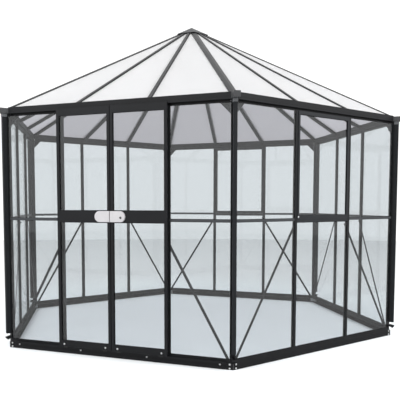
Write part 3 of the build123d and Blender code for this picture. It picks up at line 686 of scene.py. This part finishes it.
# %% Jamb brushes and meeting seal
frame_face = 2 * mm
brush_place = 437 * mm
brush_low, brush_high = 76 * mm, 1812 * mm
backing_half, pile_half = 4 * mm, 2.5 * mm
backing_top, pile_top = 0.6 * mm, -6.3 * mm
backing_round, pile_round = 0.4 * mm, 1.2 * mm
brush_backing = bmesh.new()
jamb_brushes = bmesh.new()
for side in (-1, 1):
    spot = on_wall("front") @ Matrix.Translation((side * brush_place, 0, 0))
    strip(brush_backing, spot, (-backing_half, backing_top, brush_low),
          (backing_half, frame_face, brush_high), backing_round)
    strip(jamb_brushes, spot, (-pile_half, pile_top, brush_low), (pile_half, backing_top, brush_high), pile_round)
finished("brush_backing", brush_backing, black_nylon, "frame")
finished("jamb_brushes", jamb_brushes, brush_pile, "frame")

seal_left, seal_right = -2.5 * mm, 2.0 * mm
seal_front, seal_back = -22 * mm, -12 * mm
seal_round = 1.5 * mm
leaf_low, leaf_high = 61 * mm, 1842 * mm
meeting_seal = bmesh.new()
strip(meeting_seal, on_wall("front"), (seal_left, seal_front, leaf_low), (seal_right, seal_back, leaf_high),
      seal_round)
finished("meeting_seal", meeting_seal, rubber, "left_door")

# %% [markdown]
# ## Painted shade on the posts
# A downpipe is narrower than its post. A black rubber strip on each side fills the seam between the two.
# It is painted shade: it stands for the shadow gap that shows as a black line down beside every pipe.

# %% Post shade strips
seam_sides = (13.6 * mm, 18 * mm)
seam_back, seam_front = 1849.1 * mm, 1852 * mm
seam_low, seam_high = 116 * mm, 1812 * mm
seam_round = 0.8 * mm
# Painted shade: black strips where the seam between pipe and post lies in shadow.
post_shade_strips = bmesh.new()
for wall in walls:
    for side in (-1, 1):
        near, far = sorted(side * place for place in seam_sides)
        strip(post_shade_strips, on_corner(wall), (seam_back, near, seam_low), (seam_front, far, seam_high), seam_round)
finished("post_shade_strips", post_shade_strips, rubber, "frame")

# %% [markdown]
# ## Lock
# The pull plate has a small dark lock near its right end: a turned ring round a keyway.
# The ring is an outline that is spun, and the keyway is a slim bar that stands in it.

# %% Lock on the right door
lock_place = (90 * mm, -40 * mm, 1040 * mm)
lock_outline = ((0, 0.5), (5.4, 0.5), (5.9, 1.6), (7.6, 1.6), (8.3, 1.0), (8.3, 0), (0, 0))
keyway_half, keyway_reach = 0.6 * mm, 3 * mm
keyway_front, keyway_back = -0.9 * mm, -0.5 * mm
keyway_round = 0.1 * mm
lock_spot = on_wall("front") @ Matrix.Translation(lock_place)
lock = spun(lock_outline)
bmesh.ops.transform(lock, matrix=lock_spot, verts=lock.verts)
finished("lock_ring", lock, anthracite_coat, "right_door")
keyway = bmesh.new()
strip(keyway, lock_spot, (-keyway_half, keyway_front, -keyway_reach), (keyway_half, keyway_back, keyway_reach),
      keyway_round)
finished("lock_keyway", keyway, bright_zinc, "right_door")

# %% [markdown]
# ## Places on the roof
# The six roof faces are one face turned by 60 degrees at a time, and tilted by 30 degrees.
# A place on a face is given across it, up the slope from the gutter, and out of the sheet.
# Bars and hips all run to the peak, so a line on the face narrows from its place at the eaves to nothing.

# %% Roof matrices
roof_pitch = radians(30)
seat_distance = 1569.3 * mm
seat_height = 1884 * mm
slope_length = seat_distance / cos(roof_pitch)
hip_eaves = seat_distance * tan(half_corner)
bar_share = 0.32
bar_eaves = bar_share * hip_eaves
lower_edge = -20.8 * mm
pane_top = 6 * mm


def on_roof(wall):
    """Matrix from (across, up the slope, out of the sheet) on a roof face to the greenhouse."""
    turn = Matrix.Rotation(wall_turns[wall] + pi / 2, 4, "Z")
    return turn @ Matrix.Translation((0, -seat_distance, seat_height)) @ Matrix.Rotation(roof_pitch, 4, "X")


def to_peak(eaves_place, slope):
    """Point on a roof face of a line from the eaves to the peak."""
    return Vector((eaves_place * (1 - slope / slope_length), slope, 0))


def roof_run(wall, eaves_place, low, high):
    """Matrix with X along a line that runs to the peak, and the length of the run."""
    start, end = to_peak(eaves_place, low), to_peak(eaves_place, high)
    run = end - start
    lean = Matrix.Rotation(Vector((1, 0)).angle_signed(run.xy) * -1, 4, "Z")
    return on_roof(wall) @ Matrix.Translation(start) @ lean, run.length


print("a roof face is", round(slope_length, 3), "m long up the slope")

# %% [markdown]
# ## Rubber lips on the roof
# Each cap strip presses a rubber lip on the sheet along both of its edges, and the hip covers do the same.
# The lips show as a thin black line beside every bar, and they keep the rain out.
# They lean towards the peak as the bars do, so each one gets the matrix of its own run.

# %% Roof lips
lip_width = 2 * mm
lip_rise = 1.6 * mm
lip_round = 0.5 * mm
lip_high = 1655 * mm
cap_half = 16 * mm
hip_half = 26.9 * mm
roof_lips = bmesh.new()
for wall in walls:
    for side in (-1, 1):
        spot, length = roof_run(wall, side * bar_eaves, lower_edge, lip_high)
        for edge in (-cap_half - lip_width, cap_half):
            strip(roof_lips, spot, (0, edge, pane_top), (length, edge + lip_width, pane_top + lip_rise), lip_round)
        spot, length = roof_run(wall, side * hip_eaves, lower_edge, lip_high)
        near, far = sorted((side * hip_half, side * (hip_half + lip_width)))
        strip(roof_lips, spot, (0, near, pane_top), (length, far, pane_top + lip_rise), lip_round)
finished("roof_lips", roof_lips, rubber, "frame")

# %% [markdown]
# ## Painted shade under the cap
# Black rubber strips paint the shade under the apex cap: an edging round its rim, and blocks in the gaps between the
# bars under it.
# Both sit on the roof faces, so they are strips again: across the slope this time, not up it.

# %% Painted shade under the cap
rim_half = 83 * mm
shade_edging_slopes = (1656 * mm, 1660.6 * mm)
shade_edging_heights = (15.2 * mm, 19.2 * mm)
shade_edging_round = 0.8 * mm
shade_block_slopes = (1660.5 * mm, 1664 * mm)
shade_block_top = 14.8 * mm
shade_block_round = 0.4 * mm
shade_block_spans = ((-7.6 * mm, 7.6 * mm), (40.3 * mm, 44.7 * mm), (-44.7 * mm, -40.3 * mm))
# Painted shade: black strips under the cap's rim and between the bars there.
cap_shade_edging = bmesh.new()
cap_shade_blocks = bmesh.new()
for wall in walls:
    strip(cap_shade_edging, on_roof(wall), (-rim_half, shade_edging_slopes[0], shade_edging_heights[0]),
          (rim_half, shade_edging_slopes[1], shade_edging_heights[1]), shade_edging_round)
    for left, right in shade_block_spans:
        strip(cap_shade_blocks, on_roof(wall), (left, shade_block_slopes[0], pane_top), (right, shade_block_slopes[1], shade_block_top),
              shade_block_round)
finished("cap_shade_edging", cap_shade_edging, rubber, "frame")
finished("cap_shade_blocks", cap_shade_blocks, rubber, "frame")

# %% [markdown]
# ## Sheet ends
# A twin-wall sheet is open at its lower end, so a folded channel of bright metal closes the cells above the gutter.
# The channel's section is a line of four points. It is extruded along the eaves and then given its thickness,
# which is how the real one is made from flat strip.

# %% Channels on the lower ends of the sheets
channel_wall = 1 * mm
channel_reach = 12 * mm
bar_clear = 17.5 * mm
hip_clear = 32 * mm
bar_foot = to_peak(bar_eaves, lower_edge).x
hip_foot = to_peak(hip_eaves, lower_edge).x
spans = ((-bar_foot + bar_clear, bar_foot - bar_clear), (bar_foot + bar_clear, hip_foot - hip_clear),
         (hip_clear - hip_foot, -bar_foot - bar_clear))
section = ((channel_reach, pane_top), (0, pane_top), (0, 0), (channel_reach, 0))
sheet_ends = bmesh.new()
for wall in walls:
    for left, right in spans:
        points = [sheet_ends.verts.new((left, lower_edge + up, out)) for up, out in section]
        edges = [sheet_ends.edges.new(pair) for pair in zip(points, points[1:])]
        drawn = bmesh.ops.extrude_edge_only(sheet_ends, edges=edges)["geom"]
        ends = [part for part in drawn if isinstance(part, bmesh.types.BMVert)]
        faces = [part for part in drawn if isinstance(part, bmesh.types.BMFace)]
        bmesh.ops.translate(sheet_ends, verts=ends, vec=(right - left, 0, 0))
        bmesh.ops.recalc_face_normals(sheet_ends, faces=faces)
        bmesh.ops.transform(sheet_ends, matrix=on_roof(wall), verts=points + ends)
bmesh.ops.solidify(sheet_ends, geom=sheet_ends.faces[:], thickness=channel_wall)
finished("sheet_ends", sheet_ends, bright_zinc, "frame")

# %% [markdown]
# ## Base joints
# The base rails are cut at an angle and meet at each corner, where the bare metal of the cut just shows.
# A slim strip in each joint gives that pale upright line. At this size bright zinc looks the same as bare aluminium.

# %% Mitre joints
joint_half = 0.45 * mm
joint_back, joint_front = 1846 * mm, 1858.6 * mm
joint_low, joint_high = 1 * mm, 44 * mm
joint_round = 0.1 * mm
base_joints = bmesh.new()
for wall in walls:
    strip(base_joints, on_corner(wall), (joint_back, -joint_half, joint_low), (joint_front, joint_half, joint_high),
          joint_round)
finished("base_joints", base_joints, bright_zinc, "frame")

# %% [markdown]
# ## Pipe collars
# A pale collar joins each gutter outlet to its downpipe.
# It is a box round the pipe with rounded edges and no top or bottom. A cut takes away what would be in the post,
# and a wall thickness turns the rest into a folded band.

# %% Collars on the downpipes
collar_back, collar_front = 1840 * mm, 1888.6 * mm
collar_half = 15.1 * mm
collar_low, collar_high = 1813 * mm, 1837.4 * mm
collar_round = 3.6 * mm
collar_wall = 1.4 * mm
collar_plastic = moulded_plastic("pale_grey_pvc", "57595c", "5f6164", gloss=0.4, strength=0.15)
collar_size = (collar_front - collar_back, 2 * collar_half, collar_high - collar_low, 1)
collar_middle = Matrix.Translation(((collar_front + collar_back) / 2, 0, (collar_high + collar_low) / 2))
collar = bmesh.new()
bmesh.ops.create_cube(collar, size=1.0, matrix=collar_middle @ Matrix.Diagonal(collar_size))
ends = [face for face in collar.faces if abs(face.normal.z) > 0.5]
bmesh.ops.delete(collar, geom=ends, context="FACES_ONLY")
uprights = [edge for edge in collar.edges if abs(edge.verts[0].co.z - edge.verts[1].co.z) > collar_wall]
bmesh.ops.bevel(collar, geom=uprights, offset=collar_round, affect="EDGES", segments=3, profile=0.5, material=-1)
bmesh.ops.bisect_plane(collar, geom=collar.verts[:] + collar.edges[:] + collar.faces[:],
                       plane_co=(pipe_back, 0, 0), plane_no=(1, 0, 0), clear_inner=True)
bmesh.ops.solidify(collar, geom=collar.faces[:], thickness=collar_wall)
collar_mesh = as_mesh("pipe_collar", collar)
pipe_collars = bmesh.new()
for wall in walls:
    stamped(pipe_collars, collar_mesh, on_corner(wall))
finished("pipe_collars", pipe_collars, collar_plastic, "frame")

# %% [markdown]
# ## Floor
# A plain pale disc carries the greenhouse. Its far edge is the line that shows through the glass.
# It is palest under the house, and a little greyer a few metres away.
# Its reflection in the panes is painted greyer still, as if a grey cloth lay in front of them, so the lower panes
# stay clear.

# %% Floor
floor_radius = 20.2
floor_middle = (2.15, -5.58, 0)
floor_sides = 96
pale_reach, grey_reach = 1.5, 4.5
floor_mesh = bmesh.new()
bmesh.ops.create_circle(floor_mesh, cap_ends=True, segments=floor_sides, radius=floor_radius,
                        matrix=Matrix.Translation(floor_middle))
floor = bpy.data.objects.new("floor", as_mesh("floor", floor_mesh))
bpy.context.scene.collection.objects.link(floor)

pale_floor, tree, place = new_material("pale_floor")
distance = add(tree, "ShaderNodeVectorMath", {0: place}, operation="LENGTH")
fade = add(tree, "ShaderNodeMapRange", {"Value": distance.outputs["Value"], "From Min": pale_reach,
                                        "From Max": grey_reach}, interpolation_type="SMOOTHSTEP")
seen = add(tree, "ShaderNodeMix", {"Factor": fade.outputs["Result"], "A": linear("fafdff"), "B": linear("e2e2e2")},
           data_type="RGBA")
path = tree.nodes.new("ShaderNodeLightPath")
# Painted reflection: rays mirrored in the panes see the floor as grey acacac.
colour = add(tree, "ShaderNodeMix", {"Factor": path.outputs["Is Glossy Ray"], "A": seen.outputs["Result"],
                                     "B": linear("acacac")}, data_type="RGBA")
shader = add(tree, "ShaderNodeBsdfPrincipled", {
    "Base Color": colour.outputs["Result"], "Roughness": 0.9, "Specular IOR Level": 0.1})
add(tree, "ShaderNodeOutputMaterial", {"Surface": shader.outputs["BSDF"]})
dress(floor, pale_floor)
print("floor of", floor_radius, "m radius")

# %% [markdown]
# ## Light
# The studio is a white room that is brightest overhead, so upright faces stay dark and the roof bars catch the light.
# The camera sees an even white backdrop instead of that gradient.
# Two large softboxes, high on the left and on the right, add soft highlights without hard shadows.

# %% Studio and softboxes
backdrop_strength = 1.2
horizon_strength, zenith_strength = 0.85, 1.5
world = bpy.data.worlds.new("studio")
world.use_nodes = True
tree = world.node_tree
tree.nodes.clear()
path = tree.nodes.new("ShaderNodeLightPath")
way = add(tree, "ShaderNodeSeparateXYZ", {"Vector": tree.nodes.new("ShaderNodeTexCoord").outputs["Generated"]})
rise = add(tree, "ShaderNodeMapRange", {"Value": way.outputs["Z"], "To Min": horizon_strength,
                                        "To Max": zenith_strength})
backdrop = add(tree, "ShaderNodeBackground", {"Color": linear("ffffff"), "Strength": backdrop_strength})
sky = add(tree, "ShaderNodeBackground", {"Color": linear("ffffff"), "Strength": rise.outputs["Result"]})
mix = add(tree, "ShaderNodeMixShader", {0: path.outputs["Is Camera Ray"], 1: sky.outputs["Background"],
                                        2: backdrop.outputs["Background"]})
add(tree, "ShaderNodeOutputWorld", {"Surface": mix.outputs["Shader"]})
bpy.context.scene.world = world
bpy.context.scene.view_settings.view_transform = "Standard"

softbox_places = {"softbox_left": (-4.0, -6.9, 6.5), "softbox_right": (8.0, 0.0, 6.5)}
softbox_aim = Vector((0, 0, 1))
softbox_watts = 300
softbox_side = 3.0
for name, spot in softbox_places.items():
    lamp = bpy.data.lights.new(name, "AREA")
    lamp.energy = softbox_watts
    lamp.size = softbox_side
    softbox = bpy.data.objects.new(name, lamp)
    softbox.location = spot
    softbox.rotation_euler = (softbox_aim - Vector(spot)).to_track_quat("-Z", "Y").to_euler()
    bpy.context.scene.collection.objects.link(softbox)
print(len(softbox_places), "softboxes of", softbox_watts, "W")

# %% [markdown]
# ## Camera
# The camera stands a little over a metre up and looks slightly down at the corner beside the doors.
# Its place and lens come from fitting the corners, bars and rails of the house to the photograph.
# The house lies off the axis of the lens there, so the lens is shifted a little instead of turning the camera.

# %% Camera
focal_length = 55.24
shift_right, shift_up = 0.0405, 0.1265
camera_place = (2.152, -5.578, 1.1353)
camera_tilt, camera_turn = radians(85.704), radians(21.81)
lens = bpy.data.cameras.new("photo_camera")
lens.lens = focal_length
lens.shift_x = shift_right
lens.shift_y = shift_up
camera = bpy.data.objects.new("photo_camera", lens)
camera.location = camera_place
camera.rotation_euler = (camera_tilt, 0, camera_turn)
bpy.context.scene.collection.objects.link(camera)
bpy.context.scene.camera = camera
print("camera at", [round(x, 2) for x in camera.location])
